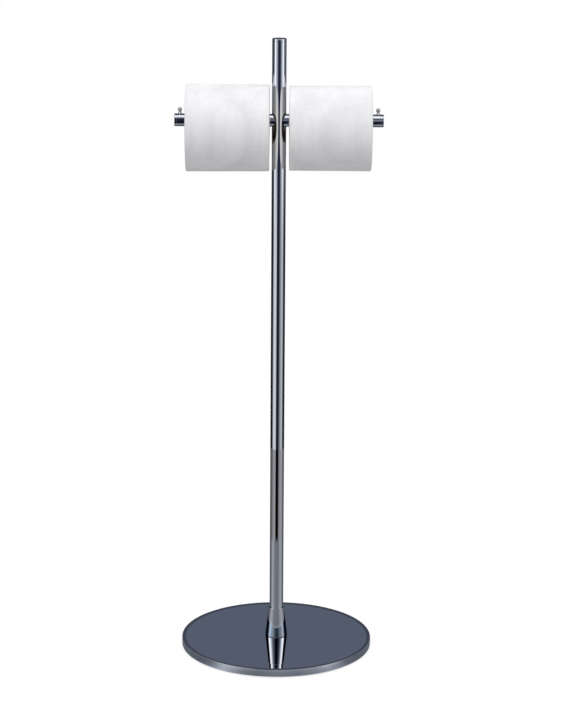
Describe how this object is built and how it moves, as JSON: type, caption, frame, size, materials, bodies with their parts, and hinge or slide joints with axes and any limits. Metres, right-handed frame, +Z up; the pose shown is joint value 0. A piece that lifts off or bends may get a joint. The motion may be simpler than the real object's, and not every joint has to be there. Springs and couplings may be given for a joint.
{
  "type": "toilet paper stand",
  "caption": "Free-standing chromed holder for toilet paper rolls: round weighted base, conical collar, straight pole, and a short arm with a retaining peg on each side.",
  "frame": {"origin": "on the floor, under the pole's axis, in the middle of the base", "axes": "+Z up along the pole, +X along the right arm, -Y to the front"},
  "size_m": [0.262, 0.248, 0.798],
  "materials": {
    "chrome": "polished",
    "plated_steel": "satin",
    "turned_brass": "satin",
    "pad_rubber": "matte",
    "tissue": "matte",
    "core_card": "matte"
  },
  "bodies": {
    "stand": {"base_disc": "chrome", "base_pad": "pad_rubber", "base_screw": "plated_steel", "base_washer": "plated_steel", "foot_collar": "chrome", "foot_bush": "turned_brass", "pole_tube": "chrome", "pole_top_cap": "chrome", "left_arm_tube": "chrome", "left_arm_bush": "turned_brass", "left_end_cap": "chrome", "left_retaining_peg": "chrome", "right_arm_tube": "chrome", "right_arm_bush": "turned_brass", "right_end_cap": "chrome", "right_retaining_peg": "chrome", "tie_screw": "plated_steel", "tie_washer": "plated_steel"},
    "left_roll": {"left_roll_core": "core_card", "left_roll_paper": "tissue"},
    "right_roll": {"right_roll_core": "core_card", "right_roll_paper": "tissue"}
  },
  "joints": [
    {"name": "left_roll_spin", "type": "hinge", "parent": "stand", "child": "left_roll", "pos_m": [-0.06425, 0, 0.6856], "axis": [1, 0, 0], "continuous": true},
    {"name": "right_roll_spin", "type": "hinge", "parent": "stand", "child": "right_roll", "pos_m": [0.0643, 0, 0.6856], "axis": [1, 0, 0], "continuous": true}
  ]
}
